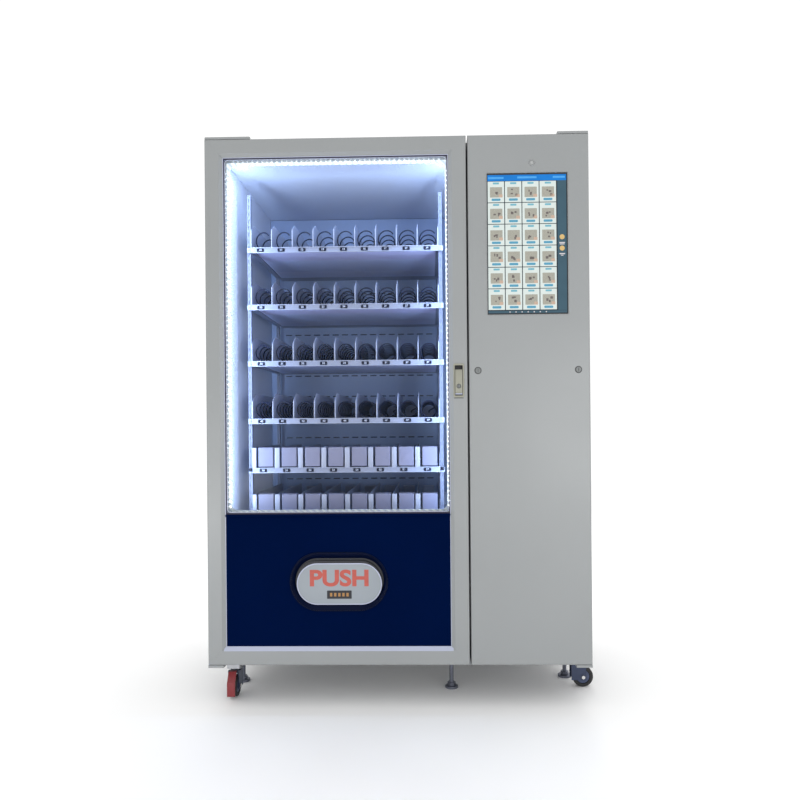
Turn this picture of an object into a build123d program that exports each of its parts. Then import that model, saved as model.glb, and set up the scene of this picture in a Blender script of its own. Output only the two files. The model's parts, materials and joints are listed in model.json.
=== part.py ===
"""Snack vending machine: a glass-fronted cabinet with six slide-out trays and a control door beside it.

Millimetres. +Z is up, the doors face -Y, and +X is to the right of someone facing the machine. The origin is
on the floor at the centre of the footprint, which counts the front caster that points out past the right.
"""

import os

from build123d import *

# Cabinet and doors. Places across the machine are given from its left side.
WIDTH = 1300
WHEEL_OVERHANG = 45.5
LEFT = -(WIDTH + WHEEL_OVERHANG) / 2
RIGHT = LEFT + WIDTH
DOOR_FRONT = -400
DOOR_BACK = -345
CABINET_FRONT = -338
CABINET_BACK = 398
BACK = 400  # outer face of the rear panel
BASE_BOTTOM = 125
DOOR_BOTTOM = 145
DOOR_TOP = 1931.6
CABINET_TOP = 1932
DECK_TOP = 146  # floor sheet that the compartments stand on
SHEET = 2.5
SEAM = 0.2  # open joint between pieces that are bolted or welded side by side

# Glass door
DOOR_WIDTH = 888
DOOR_GAP = 5
RAIL = 60
BEVEL = 12
BEVEL_DEPTH = 8
GLASS_Y = (-388, -364)
PANEL_Y = (-391, -371)
PANEL_TOP = 656
HINGE_INSET = 12
HINGE_PIN_R = 6
PIN_REACH = 20
RUNNING = 0.06  # radial clearance of a pin in its bore

# Delivery flap
FLAP_X = LEFT + 446
FLAP_Z = 426
RING_W, RING_H = 334, 200
MOUTH_W, MOUTH_H = 302, 152
PAD_W, PAD_H = 293, 143
PAD_SHIFT_X, PAD_SHIFT_Z = -3, -3
FLAP_PIN_Y, FLAP_PIN_Z = -357, 518
FLAP_PIN_R = 4

# Handle
HANDLE_X = LEFT + 858
HANDLE_Z = 1105
DISH_W, DISH_H = 34, 108
LEVER_W, LEVER_PIVOT_Y, LEVER_PIVOT_Z = 24, -389, 1068
LEVER_TOP = 1142
KEY_X, KEY_Z, KEY_R = HANDLE_X, 1086, 5.5

# Control door
SCREEN_LEFT, SCREEN_RIGHT = LEFT + 957, LEFT + 1228
SCREEN_BOTTOM, SCREEN_TOP = 1325, 1801
LENS_X, LENS_Z, LENS_R = LEFT + 1109, 1835, 7
LOCK_X = (LEFT + 923, LEFT + 1260)
LOCK_Z, LOCK_R = 1138, 9

# Compartments
WALL = 50
PARTITION = (LEFT + 845, LEFT + 885)
LINER_CEILING = 1885
LINER_BACK = 350
COLD_FLOOR = 600
BIN_BACK = -50
BIN_TOP = 548

# Trays, from the top down
TRAY_LEFT, TRAY_RIGHT = LEFT + 104, LEFT + 795
TRAY_FRONT, TRAY_BACK = -200, 300
RAIL_TOPS = (1616, 1405, 1197, 985, 804, 632)
RAIL_H = 20
TRAY_FLOOR_DROP = 4
COIL_LANES, PUSHER_LANES = 9, 8
DIVIDER_H = 94
DIVIDER_T = 1.6
LOW_DIVIDER_H = 75
FLANGE_W = 15
TOP_COIL_PITCHES = (95, 95, 95, 75, 75, 62, 62, 62, 62)  # one for each lane of the top tray
COIL_PITCHES = {2: 62, 3: 55, 4: 50}  # one for each tray below it
COIL_R, WIRE_R = 29.75, 2.3
WIRE_SIDES = 8
COIL_LENGTH = 440
COIL_RISE = 32
COIL_START = 60  # where a coil's front end lies, in degrees clockwise from its top
ARM_GAP = 1.2
PUSHER_W, PUSHER_H, PUSHER_DEPTH = 58, 74, 30

# Casters and feet
WHEEL_R, WHEEL_W = 37.5, 30
TRAIL = 30
AXLE_R = 5
SWIVEL_LEFT = (LEFT + 58, -263)
SWIVEL_RIGHT = (LEFT + 1278, -200)
REAR_WHEELS = ((LEFT + 58, 290), (LEFT + 1242, 290))
FEET = {
    "foot_left": (LEFT + 50, -150, 24),
    "foot_middle": (LEFT + 831, -214, 23.5),
    "foot_right": (LEFT + 1263, -105, 25),
}
STEM_R, STEM_TOP = 7.5, 142
PLATE_BOTTOM = 101  # underside of the casters' top plates


def block(x, y, z, mode=Mode.ADD):
    """A box in the part being built. Each argument is its low and high end on that axis."""
    with Locations(((x[0] + x[1]) / 2, (y[0] + y[1]) / 2, (z[0] + z[1]) / 2)):
        Box(x[1] - x[0], y[1] - y[0], z[1] - z[0], mode=mode)


def rod(axis, centre, radius, length, mode=Mode.ADD):
    """A cylinder along "x", "y" or "z" in the part being built, centred on a point."""
    turn = {"x": (0, 90, 0), "y": (90, 0, 0), "z": (0, 0, 0)}[axis]
    with Locations(Location(centre, turn)):
        Cylinder(radius, length, mode=mode)


def save(builder, name):
    """Label a finished piece and write its STEP file."""
    builder.part.label = name
    export_step(builder.part, f"parts/{name}.step")


def facing_front(y):
    """A plane at depth y that faces out of the doors, its own X and Y being the machine's X and Z."""
    return Plane(origin=(0, y, 0), x_dir=(1, 0, 0), z_dir=(0, -1, 0))


os.makedirs("parts", exist_ok=True)

# ---------------------------------------------------------------- cabinet

FLANGE = 47
for name, outer, inward in (("left_side_panel", LEFT, 1), ("right_side_panel", RIGHT, -1)):
    with BuildPart() as side_panel:
        inner = outer + inward * SHEET
        height = (DECK_TOP + SEAM, CABINET_TOP - 30)
        block(sorted((outer, inner)), (CABINET_FRONT, CABINET_BACK), (DECK_TOP + SEAM, CABINET_TOP - 3))
        turned_in = sorted((inner + inward * SEAM, inner + inward * (FLANGE - SHEET)))
        block(turned_in, (CABINET_FRONT, CABINET_FRONT + SHEET), height)
        block(turned_in, (CABINET_BACK - SHEET, CABINET_BACK), height)
        corner = side_panel.edges().filter_by(Axis.Z).group_by(Axis.X)[0 if inward > 0 else -1]
        fillet(corner, 2)
    save(side_panel, name)

with BuildPart() as top_panel:
    block((LEFT, RIGHT), (CABINET_FRONT, BACK), (CABINET_TOP - 2.8, CABINET_TOP))
    block((LEFT + 3, RIGHT - 3), (CABINET_FRONT, CABINET_FRONT + 2), (CABINET_TOP - 28, CABINET_TOP - 2.8))
    fillet(top_panel.edges().group_by(Axis.Z)[-1], 1.5)
save(top_panel, "top_panel")

VENT_X, VENT_Z = LEFT + 600, 320
INLET_X, INLET_Z = LEFT + 1150, 260
with BuildPart() as rear_panel:
    block((LEFT + 1, RIGHT - 1), (CABINET_BACK + SEAM, BACK), (BASE_BOTTOM + 2, CABINET_TOP - 3))
    vent = Plane(origin=(VENT_X, BACK, VENT_Z), x_dir=(-1, 0, 0), z_dir=(0, 1, 0))
    with BuildSketch(vent):
        with GridLocations(95, 14, 4, 20):
            SlotOverall(80, 6)
    extrude(amount=-5, mode=Mode.SUBTRACT)
    inlet = Plane(origin=(INLET_X, BACK, INLET_Z), x_dir=(-1, 0, 0), z_dir=(0, 1, 0))
    with BuildSketch(inlet):
        Rectangle(48, 28)
    extrude(amount=-5, mode=Mode.SUBTRACT)
save(rear_panel, "rear_panel")

SIDE_RAIL = 80
CROSS_RAIL = (LEFT + 800, LEFT + 862)
RAIL_DEPTH = 50
RAIL_LEVEL = (BASE_BOTTOM, DECK_TOP - 3 - SEAM)
with BuildPart() as base_frame:
    for x in ((LEFT + 2, LEFT + SIDE_RAIL), (RIGHT - SIDE_RAIL, RIGHT - 2)):
        block(x, (CABINET_FRONT, CABINET_BACK), RAIL_LEVEL)
    between = (LEFT + SIDE_RAIL + SEAM, RIGHT - SIDE_RAIL - SEAM)
    block(between, (CABINET_FRONT, CABINET_FRONT + RAIL_DEPTH), RAIL_LEVEL)
    block(between, (CABINET_BACK - RAIL_DEPTH, CABINET_BACK), RAIL_LEVEL)
    lengthways = (CABINET_FRONT + RAIL_DEPTH + SEAM, CABINET_BACK - RAIL_DEPTH - SEAM)
    block(CROSS_RAIL, lengthways, RAIL_LEVEL)
    block((LEFT + 2, RIGHT - 2), (CABINET_FRONT, CABINET_BACK), (DECK_TOP - 3, DECK_TOP))
    for x, y, _ in FEET.values():
        rod("z", (x, y, BASE_BOTTOM + 12), STEM_R + RUNNING, 30, Mode.SUBTRACT)
save(base_frame, "base_frame")

INSIDE = (LEFT + WALL + SEAM, PARTITION[0] - SEAM)
LINER_Y = (CABINET_FRONT + 3, CABINET_BACK - 4)
with BuildPart() as insulated_liner:
    for x in ((LEFT + 3, LEFT + WALL), PARTITION):
        block(x, LINER_Y, (DECK_TOP + SEAM, LINER_CEILING - SEAM))
    block((LEFT + 3, PARTITION[1]), LINER_Y, (LINER_CEILING, CABINET_TOP - 3))
    block(INSIDE, (LINER_BACK, LINER_Y[1]), (COLD_FLOOR + SEAM, LINER_CEILING - SEAM))
    block(INSIDE, (BIN_BACK, LINER_Y[1]), (COLD_FLOOR - 40, COLD_FLOOR))
    block(INSIDE, (BIN_BACK, BIN_BACK + 38), (DECK_TOP + SEAM, COLD_FLOOR - 40 - SEAM))
save(insulated_liner, "insulated_liner")

POST_W, POST_DEPTH = 13, 17
POSTS_X = ((LEFT + 90, LEFT + 90 + POST_W), (TRAY_RIGHT + 1.2, TRAY_RIGHT + 1.2 + POST_W))
POST_FRONT, POST_REAR = TRAY_FRONT + 3, 262
POST_TOP = 1812
SLOT_PITCH = 25
with BuildPart() as tray_supports:
    for x in POSTS_X:
        for y in (POST_FRONT, POST_REAR):
            block(x, (y, y + POST_DEPTH), (COLD_FLOOR + SEAM, POST_TOP))
            slots = range(COLD_FLOOR + 40, POST_TOP - 12, SLOT_PITCH)
            with Locations(*[((x[0] + x[1]) / 2, y, z) for z in slots]):
                Box(4, 5, 14, mode=Mode.SUBTRACT)
    for rail_top in RAIL_TOPS:
        pan_bottom = rail_top - TRAY_FLOOR_DROP - 2
        for x, ledge in (
            ((POSTS_X[0][0] + 2, TRAY_LEFT - 0.8), (TRAY_LEFT - 0.8, TRAY_LEFT + 9)),
            ((TRAY_RIGHT + 0.8, POSTS_X[1][1] - 2), (TRAY_RIGHT - 9, TRAY_RIGHT + 0.8)),
        ):
            run = (POST_FRONT + POST_DEPTH + SEAM, POST_REAR - SEAM)
            block(x, run, (pan_bottom - 4, pan_bottom + 14))
            block(ledge, run, (pan_bottom - 4, pan_bottom - 0.6))
save(tray_supports, "tray_supports")

HINGE_PLATE = 8
LOWER_HINGE = (DOOR_BOTTOM - 9, DOOR_BOTTOM - 0.5)
PIN_X = (LEFT + HINGE_INSET, RIGHT - HINGE_INSET)
PIN_Y = DOOR_FRONT + HINGE_INSET
with BuildPart() as door_hinges:
    for x in ((LEFT, LEFT + 156), (RIGHT - 105, RIGHT)):
        block(x, (DOOR_FRONT + 2, -290), (CABINET_TOP, CABINET_TOP + HINGE_PLATE))
    fillet(door_hinges.edges().filter_by(Axis.Z), 5)
    for x in ((LEFT, LEFT + 53), (RIGHT - 53, RIGHT)):
        block(x, (DOOR_FRONT + 2, CABINET_FRONT - SEAM), LOWER_HINGE)
        block(x, (CABINET_FRONT - 6, CABINET_FRONT - SEAM), (BASE_BOTTOM + 2, LOWER_HINGE[0]))
    for x in PIN_X:
        rod("z", (x, PIN_Y, CABINET_TOP - PIN_REACH / 2), HINGE_PIN_R, PIN_REACH)
        rod("z", (x, PIN_Y, LOWER_HINGE[1] + PIN_REACH / 2), HINGE_PIN_R, PIN_REACH)
save(door_hinges, "door_hinges")

with BuildPart() as mains_inlet:
    block((INLET_X - 23.5, INLET_X + 23.5), (BACK - 24, BACK + 2), (INLET_Z - 13.5, INLET_Z + 13.5))
    socket = ((INLET_X - 12, INLET_X + 12), (BACK - 16, BACK + 2), (INLET_Z - 8, INLET_Z + 8))
    block(*socket, Mode.SUBTRACT)
    for x, z in ((-7.5, -2), (0, 3), (7.5, -2)):
        x, z = INLET_X + x, INLET_Z + z
        block((x - 1, x + 1), (BACK - 16, BACK - 1), (z - 2, z + 2))
save(mains_inlet, "mains_inlet")

FAN_X, FAN_Z, FAN_Y = VENT_X, VENT_Z, 280
COMPRESSOR = (LEFT + 230, 190)
COMPRESSOR_R, COMPRESSOR_H = 78, 190
TRAY_SHEET_TOP = 153
FIN_PITCH = 10
with BuildPart() as cooling_unit:
    block((LEFT + 80, LEFT + 820), (0, 385), (DECK_TOP + 1, TRAY_SHEET_TOP))
    rod("z", (*COMPRESSOR, TRAY_SHEET_TOP + SEAM + COMPRESSOR_H / 2), COMPRESSOR_R, COMPRESSOR_H)
    fillet(cooling_unit.edges().filter_by(GeomType.CIRCLE).group_by(Axis.Z)[-1], 30)
    for z in range(180, 470, FIN_PITCH):
        block((FAN_X - 170, FAN_X + 170), (320, 360), (z, z + 3))
    for x in (FAN_X - 180, FAN_X + 176):
        block((x, x + 4), (318, 362), (TRAY_SHEET_TOP + SEAM, 480))
    block((FAN_X - 30, FAN_X + 30), (180, 240), (TRAY_SHEET_TOP + SEAM, FAN_Z - 26))
    rod("y", (FAN_X, 225, FAN_Z), 25, 60)
    rod("y", (FAN_X, 270, FAN_Z), 4, 36)
save(cooling_unit, "cooling_unit")

with BuildPart() as fan_rotor:
    rod("y", (FAN_X, FAN_Y, FAN_Z), 28, 24)
    for blade in range(5):
        turned = Location((FAN_X, FAN_Y, FAN_Z)) * Location((0, 0, 0), (0, 360 / 5 * blade, 0))
        with Locations(turned * Location((66, 0, 0), (28, 0, 0))):
            Box(88, 2.5, 44)
    rod("y", (FAN_X, FAN_Y, FAN_Z), 4 + RUNNING, 30, Mode.SUBTRACT)
save(fan_rotor, "fan_rotor")

with BuildPart() as control_electronics:
    control_left = LEFT + 900
    block((control_left, control_left + 280), (330, 392), (900, 1300))
    block((control_left, control_left + 200), (290, 392), (700, 830))
    with Locations(*[(control_left + 40 + 22 * slot, 330, 1260) for slot in range(10)]):
        Box(12, 4, 60, mode=Mode.SUBTRACT)
save(control_electronics, "control_electronics")

BIN_X = (LEFT + WALL + 3, PARTITION[0] - 3)
BIN_Y = (CABINET_FRONT + 6, BIN_BACK - 3)
BIN_FLOOR, BIN_LIP = 290, 333
with BuildPart() as delivery_bin:
    block(BIN_X, BIN_Y, (BIN_FLOOR - 3, BIN_FLOOR))
    for x in (BIN_X[0], BIN_X[1] - 3):
        block((x, x + 3), BIN_Y, (BIN_FLOOR + SEAM, BIN_TOP))
    for y, top in ((BIN_Y[1] - 3, BIN_TOP), (BIN_Y[0], BIN_LIP)):
        block((BIN_X[0] + 3 + SEAM, BIN_X[1] - 3 - SEAM), (y, y + 3), (BIN_FLOOR + SEAM, top))
    for x in (BIN_X[0] + 40, BIN_X[1] - 80):
        block((x, x + 40), (BIN_Y[0] + 10, BIN_Y[1]), (DECK_TOP + SEAM, BIN_FLOOR - 3 - SEAM))
save(delivery_bin, "delivery_bin")

# ---------------------------------------------------------------- glass door


def door_rail(plane, length):
    """One bar of the glass door's frame, mitred at both ends, its outer edge along the plane's X axis."""
    cut = SEAM / 2
    with BuildPart() as bar:
        with BuildSketch(plane):
            with BuildLine():
                Polyline(
                    (cut, 0), (length - cut, 0), (length - RAIL - cut, RAIL), (RAIL + cut, RAIL), close=True
                )
            make_face()
        extrude(amount=DOOR_BACK - DOOR_FRONT)
        front = bar.faces().sort_by(Axis.Y)[0]
        inner, outer = front.edges().sort_by(SortBy.LENGTH)[-2:]
        beside_glass = bar.faces().filter_by(Axis.Y, reverse=True).sort_by_distance(inner.center())[0]
        chamfer(inner, BEVEL_DEPTH, BEVEL, reference=beside_glass)
        fillet(bar.edges().sort_by_distance(outer.center())[0], 5)
    return bar.part


DOOR_RIGHT = LEFT + DOOR_WIDTH
DOOR_HEIGHT = DOOR_TOP - DOOR_BOTTOM
OPENING_X = (LEFT + RAIL, DOOR_RIGHT - RAIL)
OPENING_Z = (DOOR_BOTTOM + RAIL, DOOR_TOP - RAIL)
with BuildPart() as door_frame:
    for corner, along, length in (
        ((LEFT, DOOR_BOTTOM), (1, 0, 0), DOOR_WIDTH),
        ((DOOR_RIGHT, DOOR_BOTTOM), (0, 0, 1), DOOR_HEIGHT),
        ((DOOR_RIGHT, DOOR_TOP), (-1, 0, 0), DOOR_WIDTH),
        ((LEFT, DOOR_TOP), (0, 0, -1), DOOR_HEIGHT),
    ):
        edge = Plane(origin=(corner[0], DOOR_BACK, corner[1]), x_dir=along, z_dir=(0, -1, 0))
        add(door_rail(edge, length))
    for z in (DOOR_BOTTOM + 12, DOOR_TOP - 12):
        rod("z", (PIN_X[0], PIN_Y, z), HINGE_PIN_R + RUNNING, 24, Mode.SUBTRACT)
    with BuildSketch(facing_front(DOOR_FRONT)):
        with Locations((HANDLE_X, HANDLE_Z)):
            Rectangle(DISH_W + 0.4, DISH_H + 0.4)
    extrude(amount=-22, mode=Mode.SUBTRACT)
save(door_frame, "door_frame")

GLASS_X = (OPENING_X[0] + 0.4, OPENING_X[1] - 0.4)
with BuildPart() as door_glass:
    block(GLASS_X, GLASS_Y, (PANEL_TOP + 0.4, OPENING_Z[1] - 0.4))
save(door_glass, "door_glass")

with BuildPart() as lower_panel:
    block(GLASS_X, PANEL_Y, (OPENING_Z[0] + 0.4, PANEL_TOP))
    with BuildSketch(facing_front(PANEL_Y[0])):
        with Locations((FLAP_X, FLAP_Z)):
            SlotOverall(RING_W + 1, RING_H + 1)
    extrude(amount=PANEL_Y[0] - PANEL_Y[1], mode=Mode.SUBTRACT)
save(lower_panel, "lower_panel")

BEZEL_FRONT, BEZEL_BACK = -393, -370
with BuildPart() as flap_bezel:
    with BuildSketch(facing_front(BEZEL_FRONT)):
        with Locations((FLAP_X, FLAP_Z)):
            SlotOverall(RING_W, RING_H)
    extrude(amount=BEZEL_FRONT - BEZEL_BACK)
    with BuildSketch(facing_front(BEZEL_FRONT)):
        with Locations((FLAP_X, FLAP_Z)):
            SlotOverall(RING_W - 6, RING_H - 6)
    with BuildSketch(facing_front(BEZEL_BACK)):
        with Locations((FLAP_X, FLAP_Z)):
            SlotOverall(MOUTH_W, MOUTH_H)
    loft(ruled=True, mode=Mode.SUBTRACT)
    for side in (-1, 1):
        lug = sorted((FLAP_X + side * 118, FLAP_X + side * 130))
        block(lug, (BEZEL_BACK, FLAP_PIN_Y + 9), (FLAP_PIN_Z - 9, FLAP_PIN_Z + 7))
    rod("x", (FLAP_X, FLAP_PIN_Y, FLAP_PIN_Z), FLAP_PIN_R + RUNNING, 270, Mode.SUBTRACT)
save(flap_bezel, "flap_bezel")

FLAP_BACKING = 5
with BuildPart() as delivery_flap:
    with BuildSketch(facing_front(BEZEL_BACK + 0.5)):
        with Locations((FLAP_X, FLAP_Z)):
            SlotOverall(MOUTH_W + 12, MOUTH_H + 12)
    extrude(amount=-FLAP_BACKING)
    with BuildSketch(facing_front(BEZEL_BACK + 0.5)):
        with Locations((FLAP_X + PAD_SHIFT_X, FLAP_Z + PAD_SHIFT_Z)):
            SlotOverall(PAD_W, PAD_H)
    extrude(amount=8)
    arm_y = (BEZEL_BACK + 0.5, BEZEL_BACK + 0.5 + FLAP_BACKING)
    block((FLAP_X - 116, FLAP_X + 116), arm_y, (FLAP_Z + 60, FLAP_PIN_Z - 1))
    knuckle_y = (arm_y[1], FLAP_PIN_Y + FLAP_PIN_R)
    block((FLAP_X - 116, FLAP_X + 116), knuckle_y, (FLAP_PIN_Z - FLAP_PIN_R, FLAP_PIN_Z + FLAP_PIN_R))
    rod("x", (FLAP_X, FLAP_PIN_Y, FLAP_PIN_Z), FLAP_PIN_R, 264)
save(delivery_flap, "delivery_flap")

LIGHT_W = 17
with BuildPart() as led_light_frame:
    with BuildSketch(facing_front(DOOR_BACK)):
        with Locations(((OPENING_X[0] + OPENING_X[1]) / 2, (PANEL_TOP + OPENING_Z[1]) / 2)):
            wide, tall = OPENING_X[1] - OPENING_X[0] + 14, OPENING_Z[1] - PANEL_TOP + 16
            RectangleRounded(wide, tall, 30)
            RectangleRounded(wide - 2 * LIGHT_W, tall - 2 * LIGHT_W, 20, mode=Mode.SUBTRACT)
    extrude(amount=-6)
save(led_light_frame, "led_light_frame")

GASKET_W = 14
GASKET_X = (LEFT + 20, DOOR_RIGHT - 12)
GASKET_Z = (DOOR_BOTTOM + 22, DOOR_TOP - 18)
GASKET_Y = (DOOR_BACK, CABINET_FRONT - 0.4)
with BuildPart() as door_gasket:
    for x in (GASKET_X[0], GASKET_X[1] - GASKET_W):
        block((x, x + GASKET_W), GASKET_Y, GASKET_Z)
    for z in (GASKET_Z[0], GASKET_Z[1] - GASKET_W):
        across = (GASKET_X[0] + GASKET_W + SEAM, GASKET_X[1] - GASKET_W - SEAM)
        block(across, GASKET_Y, (z, z + GASKET_W))
save(door_gasket, "door_gasket")

with BuildPart() as handle_dish:
    with BuildSketch(facing_front(DOOR_FRONT)):
        with Locations((HANDLE_X, HANDLE_Z)):
            RectangleRounded(DISH_W + 2, DISH_H + 6, 5)
    extrude(amount=2.5)
    with BuildSketch(facing_front(DOOR_FRONT)):
        with Locations((HANDLE_X, HANDLE_Z)):
            Rectangle(DISH_W, DISH_H)
    extrude(amount=-21.5)
    with BuildSketch(facing_front(DOOR_FRONT - 2.5)):
        with Locations((HANDLE_X, HANDLE_Z)):
            RectangleRounded(DISH_W - 7, DISH_H - 6, 3)
    extrude(amount=-22, mode=Mode.SUBTRACT)
    rod("x", (HANDLE_X, LEVER_PIVOT_Y, LEVER_PIVOT_Z), 2.5 + RUNNING, 31.5, Mode.SUBTRACT)
save(handle_dish, "handle_dish")

with BuildPart() as handle_lever:
    with BuildSketch(Plane.YZ.offset(HANDLE_X - LEVER_W / 2)):
        with BuildLine():
            foot, top = LEVER_PIVOT_Z - 6, LEVER_TOP
            Polyline((-385, foot + 5), (-390, foot), (-402, foot), (-404, foot + 4))
            ThreePointArc((-404, foot + 4), (-407, (foot + top) / 2), (-404, top - 4))
            Polyline(
                (-404, top - 4), (-401, top), (-396, top),
                (-394, top - 12), (-385, foot + 14), (-385, foot + 5),
            )
        make_face()
    extrude(amount=LEVER_W)
    rod("x", (HANDLE_X, LEVER_PIVOT_Y, LEVER_PIVOT_Z), 2.5, 31)
    rod("y", (KEY_X, -396, KEY_Z), KEY_R + RUNNING, 40, Mode.SUBTRACT)
save(handle_lever, "handle_lever")

with BuildPart() as handle_key_barrel:
    rod("y", (KEY_X, -397, KEY_Z), KEY_R, 20)
    block((KEY_X - 0.8, KEY_X + 0.8), (-407, -403), (KEY_Z - 3.5, KEY_Z + 3.5), Mode.SUBTRACT)
save(handle_key_barrel, "handle_key_barrel")

with BuildPart() as lock_rod:
    rod_x, rod_y = (DOOR_RIGHT - 44, DOOR_RIGHT - 32), (DOOR_BACK + 0.4, CABINET_FRONT - 1.4)
    block(rod_x, rod_y, (300, 1760))
    for z in (300, 1020, 1720):
        block((rod_x[0] - 6, rod_x[0]), rod_y, (z, z + 30))
save(lock_rod, "lock_rod")

# ---------------------------------------------------------------- control door

CONTROL_X = (DOOR_RIGHT + DOOR_GAP, RIGHT)
with BuildPart() as control_door:
    block(CONTROL_X, (DOOR_FRONT, DOOR_BACK), (DOOR_BOTTOM, DOOR_TOP))
    fillet(control_door.faces().sort_by(Axis.Y)[0].edges(), 5)
    hollow_x = (CONTROL_X[0] + SHEET, CONTROL_X[1] - SHEET)
    block(hollow_x, (DOOR_FRONT + SHEET, DOOR_BACK), (DOOR_BOTTOM + SHEET, DOOR_TOP - SHEET), Mode.SUBTRACT)
    for z in (DOOR_BOTTOM + SHEET + 14, DOOR_TOP - SHEET - 14):
        block((RIGHT - 30, RIGHT - SHEET), (DOOR_FRONT + SHEET, DOOR_FRONT + 30), (z - 14, z + 14))
    window = ((SCREEN_LEFT, SCREEN_RIGHT), (DOOR_FRONT - 1, DOOR_FRONT + 10), (SCREEN_BOTTOM, SCREEN_TOP))
    block(*window, Mode.SUBTRACT)
    rod("y", (LENS_X, DOOR_FRONT, LENS_Z), LENS_R + 0.2, 20, Mode.SUBTRACT)
    for x in LOCK_X:
        rod("y", (x, DOOR_FRONT, LOCK_Z), LOCK_R + RUNNING, 20, Mode.SUBTRACT)
    for z in (DOOR_BOTTOM + 12, DOOR_TOP - 12):
        rod("z", (PIN_X[1], PIN_Y, z), HINGE_PIN_R + RUNNING, 25, Mode.SUBTRACT)
save(control_door, "control_door")

with BuildPart() as touch_screen:
    screen = ((SCREEN_LEFT + 0.3, SCREEN_RIGHT - 0.3), (SCREEN_BOTTOM + 0.3, SCREEN_TOP - 0.3))
    block(screen[0], (DOOR_FRONT + 0.8, DOOR_FRONT + 36), screen[1])
save(touch_screen, "touch_screen")

with BuildPart() as camera_lens:
    rod("y", (LENS_X, DOOR_FRONT + 6, LENS_Z), LENS_R, 14)
    fillet(camera_lens.edges().group_by(Axis.Y)[0], 2)
save(camera_lens, "camera_lens")

for name, x in zip(("lock_barrel_left", "lock_barrel_right"), LOCK_X):
    with BuildPart() as lock_barrel:
        rod("y", (x, DOOR_FRONT + 9, LOCK_Z), LOCK_R, 23)
        fillet(lock_barrel.edges().group_by(Axis.Y)[0], 1.5)
        block((x - 1, x + 1), (DOOR_FRONT - 3, DOOR_FRONT + 2), (LOCK_Z - 5, LOCK_Z + 5), Mode.SUBTRACT)
        block((x - 4, x + 4), (DOOR_FRONT + 20.5, DOOR_FRONT + 23), (LOCK_Z - 6, LOCK_Z + 34))
    save(lock_barrel, name)

# ---------------------------------------------------------------- casters and feet

CROWN = (84, 88)
CHEEK = WHEEL_W / 2 + 1


def caster_fork(pivot, wheel, mirror_to_x):
    """A pressed fork over one wheel, with its axle along X, or along Y if mirror_to_x."""
    axle_axis = "y" if mirror_to_x else "x"
    for side in (-1, 1):
        near, far = sorted((side * CHEEK, side * (CHEEK + 3)))
        if mirror_to_x:
            cheek = ((pivot[0] - 12, wheel[0] + 11), (wheel[1] + near, wheel[1] + far))
        else:
            cheek = ((wheel[0] + near, wheel[0] + far), (wheel[1] - 11, pivot[1] + 12))
        block(*cheek, (WHEEL_R - 11, CROWN[0]))
    span = CHEEK + 3
    crown_x = (pivot[0] - 22, wheel[0] + 11) if mirror_to_x else (pivot[0] - span, pivot[0] + span)
    crown_y = (pivot[1] - span, pivot[1] + span) if mirror_to_x else (wheel[1] - 11, pivot[1] + 22)
    block(crown_x, crown_y, CROWN)
    rod(axle_axis, (*wheel, WHEEL_R), AXLE_R, 2 * (CHEEK + 6))
    rod(axle_axis, (*wheel, WHEEL_R), 8.5, 2 * (CHEEK + 5))
    rod(axle_axis, (*wheel, WHEEL_R), 20, 2 * CHEEK, Mode.SUBTRACT)
    rod(axle_axis, (*wheel, WHEEL_R), AXLE_R, 2 * CHEEK + 2)


def caster_wheel(centre, axis):
    """A tyre with rounded shoulders on a hub that stands a little proud of it, bored for its axle."""
    with BuildPart() as wheel:
        rod(axis, (*centre, WHEEL_R), WHEEL_R, WHEEL_W)
        fillet(wheel.edges().filter_by(GeomType.CIRCLE), 5)
        rod(axis, (*centre, WHEEL_R), 25, WHEEL_W + 2, Mode.SUBTRACT)
        rod(axis, (*centre, WHEEL_R), 25, WHEEL_W - 8)
        rod(axis, (*centre, WHEEL_R), 10, WHEEL_W + 1)
        rod(axis, (*centre, WHEEL_R), AXLE_R + RUNNING, WHEEL_W + 4, Mode.SUBTRACT)
    return wheel


WHEEL_LEFT = (SWIVEL_LEFT[0], SWIVEL_LEFT[1] - TRAIL)
WHEEL_RIGHT = (SWIVEL_RIGHT[0] + TRAIL, SWIVEL_RIGHT[1])
PLATE = (44, 90)
with BuildPart() as caster_mounts:
    for x, y in (SWIVEL_LEFT, SWIVEL_RIGHT):
        plate_x, plate_y = (x - PLATE[0] / 2, x + PLATE[0] / 2), (y - PLATE[1] / 2, y + PLATE[1] / 2)
        block(plate_x, plate_y, (PLATE_BOTTOM, BASE_BOTTOM))
        rod("z", (x, y, 95), 20, 12)
        rod("z", (x, y, 96), 6 + RUNNING, 16, Mode.SUBTRACT)
    for x, y in REAR_WHEELS:
        plate_x, plate_y = (x - CHEEK - 3, x + CHEEK + 3), (y - PLATE[1] / 2, y + PLATE[1] / 2)
        block(plate_x, plate_y, (PLATE_BOTTOM, BASE_BOTTOM))
        for side in (-1, 1):
            cheek = sorted((x + side * CHEEK, x + side * (CHEEK + 3)))
            block(cheek, (y - 14, y + 14), (WHEEL_R - 11, PLATE_BOTTOM))
        rod("x", (x, y, WHEEL_R), AXLE_R, 2 * (CHEEK + 6))
save(caster_mounts, "caster_mounts")

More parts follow.
